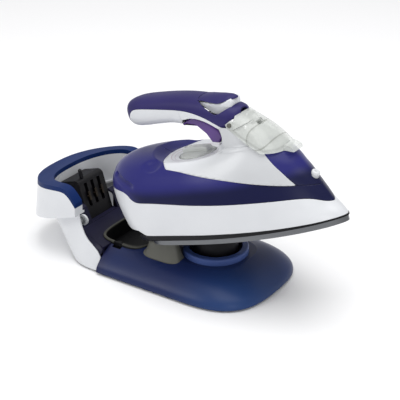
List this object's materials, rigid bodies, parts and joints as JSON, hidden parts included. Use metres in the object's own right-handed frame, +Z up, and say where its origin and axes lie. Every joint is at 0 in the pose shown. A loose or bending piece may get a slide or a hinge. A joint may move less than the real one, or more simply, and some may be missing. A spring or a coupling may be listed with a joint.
{
  "type": "cordless steam iron with charging base",
  "caption": "Cordless steam iron parked nose-up on a separate charging base with a horseshoe collar, a ring rest and a pocket for the heel.",
  "frame": {"origin": "on the ground under the centre of the base ring, at the centre foot", "axes": "+Z up, +X along the base towards the nose of the iron, +Y to the left of the iron"},
  "size_m": [0.3745, 0.1462, 0.2074],
  "materials": {
    "sole_metal": "brushed and lightly polished",
    "cast_alloy": "as cast",
    "heater_steel": "dull",
    "screw_steel": "zinc plated",
    "spring_steel": "bright",
    "contact_brass": "bright",
    "silicone": "matt",
    "black_rubber": "matt",
    "black_plastic": "fine grain",
    "white_plastic": "glossy",
    "grey_plastic": "fine grain",
    "purple_plastic": "glossy",
    "grip_plastic": "soft satin",
    "violet_plastic": "translucent gloss",
    "clear_plastic": "clear moulding",
    "dial_plastic": "clear moulding",
    "blue_plastic": "satin gloss",
    "navy_plastic": "satin",
    "rail_plastic": "glossy"
  },
  "bodies": {
    "base": {"tongue_shell": "blue_plastic", "rear_shell": "white_plastic", "dock_neck": "navy_plastic", "collar_rail": "rail_plastic", "collar_wall": "white_plastic", "ring_collar": "blue_plastic", "support_post": "black_plastic", "post_pad": "black_rubber", "rest_blocks": "grey_plastic", "pocket_liner": "black_plastic", "connector_body": "black_plastic", "contact_springs": "contact_brass", "guide_peg": "black_plastic", "terminal_block": "grey_plastic", "cord_gland": "black_rubber", "lock_spring": "spring_steel", "bottom_cover": "black_plastic", "base_screws": "screw_steel", "rubber_feet": "black_rubber"},
    "iron": {"soleplate": "sole_metal", "sole_casting": "cast_alloy", "heating_element": "heater_steel", "chamber_cover": "heater_steel", "cover_screws": "screw_steel", "thermostat": "screw_steel", "feed_tube": "silicone", "tank_seal": "silicone", "heat_shield": "black_plastic", "skirt": "white_plastic", "heel_plate": "white_plastic", "heel_screws": "screw_steel", "contact_socket": "black_plastic", "contact_plates": "contact_brass", "body_band": "purple_plastic", "nose_cover": "purple_plastic", "right_housing": "white_plastic", "left_housing": "white_plastic", "trigger_pin": "screw_steel", "water_tank": "clear_plastic", "tank_pins": "grey_plastic", "flap_pin": "screw_steel", "grip_cover": "grip_plastic", "rocker_pin": "screw_steel", "handle_shell": "white_plastic", "handle_screws": "screw_steel", "trigger_spring": "spring_steel", "pump_body": "grey_plastic", "pump_spring": "spring_steel", "spray_nozzle": "white_plastic"},
    "dial": {"thermostat_dial": "dial_plastic", "dial_shaft": "black_plastic"},
    "trigger": {"steam_trigger": "violet_plastic"},
    "valve": {"valve_rod": "screw_steel"},
    "rocker": {"thumb_rocker": "white_plastic", "thumb_cap": "grip_plastic"},
    "piston": {"pump_piston": "grey_plastic"},
    "flap": {"filler_flap": "clear_plastic"},
    "lock_button": {"lock_button": "white_plastic"},
    "lock_hook": {"lock_hook": "navy_plastic"}
  },
  "joints": [
    {"name": "dock_slide", "type": "slide", "parent": "base", "child": "iron", "axis": [0.955, 0, 0.2965], "range_m": [-0.0475, 0.3]},
    {"name": "dial_turn", "type": "hinge", "parent": "iron", "child": "dial", "pos_m": [-0.02288, 0, 0.13776], "axis": [-0.2965, 0, 0.955], "range_deg": [0, 150]},
    {"name": "trigger_pull", "type": "hinge", "parent": "iron", "child": "trigger", "pos_m": [-0.00807, 0, 0.1811], "axis": [0, 1, 0], "range_deg": [0, 6], "stiffness_Nm_per_rad": 0.5, "springref_deg": -8.59, "deforming": ["trigger_spring"]},
    {"name": "valve_lift", "type": "slide", "parent": "iron", "child": "valve", "axis": [-0.2965, 0, 0.955], "range_m": [-0.0025, 0]},
    {"name": "rocker_press", "type": "hinge", "parent": "iron", "child": "rocker", "pos_m": [-0.0114, 0, 0.18844], "axis": [0, 1, 0], "range_deg": [0, 4], "stiffness_Nm_per_rad": 0.8, "springref_deg": -8.59, "deforming": ["pump_spring"]},
    {"name": "piston_stroke", "type": "slide", "parent": "iron", "child": "piston", "axis": [-0.2965, 0, 0.955], "range_m": [-0.0021, 0]},
    {"name": "flap_hinge", "type": "hinge", "parent": "iron", "child": "flap", "pos_m": [0.04622, 0, 0.18497], "axis": [0, 1, 0], "range_deg": [0, 70]},
    {"name": "lock_press", "type": "slide", "parent": "base", "child": "lock_button", "axis": [0, -1, 0], "range_m": [0, 0.0018], "stiffness_N_per_m": 300, "springref_m": -0.002, "deforming": ["lock_spring"]},
    {"name": "hook_release", "type": "slide", "parent": "base", "child": "lock_hook", "axis": [0, -1, 0], "range_m": [0, 0.0019]}
  ],
  "couplings": [
    {"joint": "valve_lift", "follows": "trigger_pull", "m_per_rad": -0.023},
    {"joint": "piston_stroke", "follows": "rocker_press", "m_per_rad": -0.0285},
    {"joint": "hook_release", "follows": "lock_press", "ratio": 1}
  ]
}
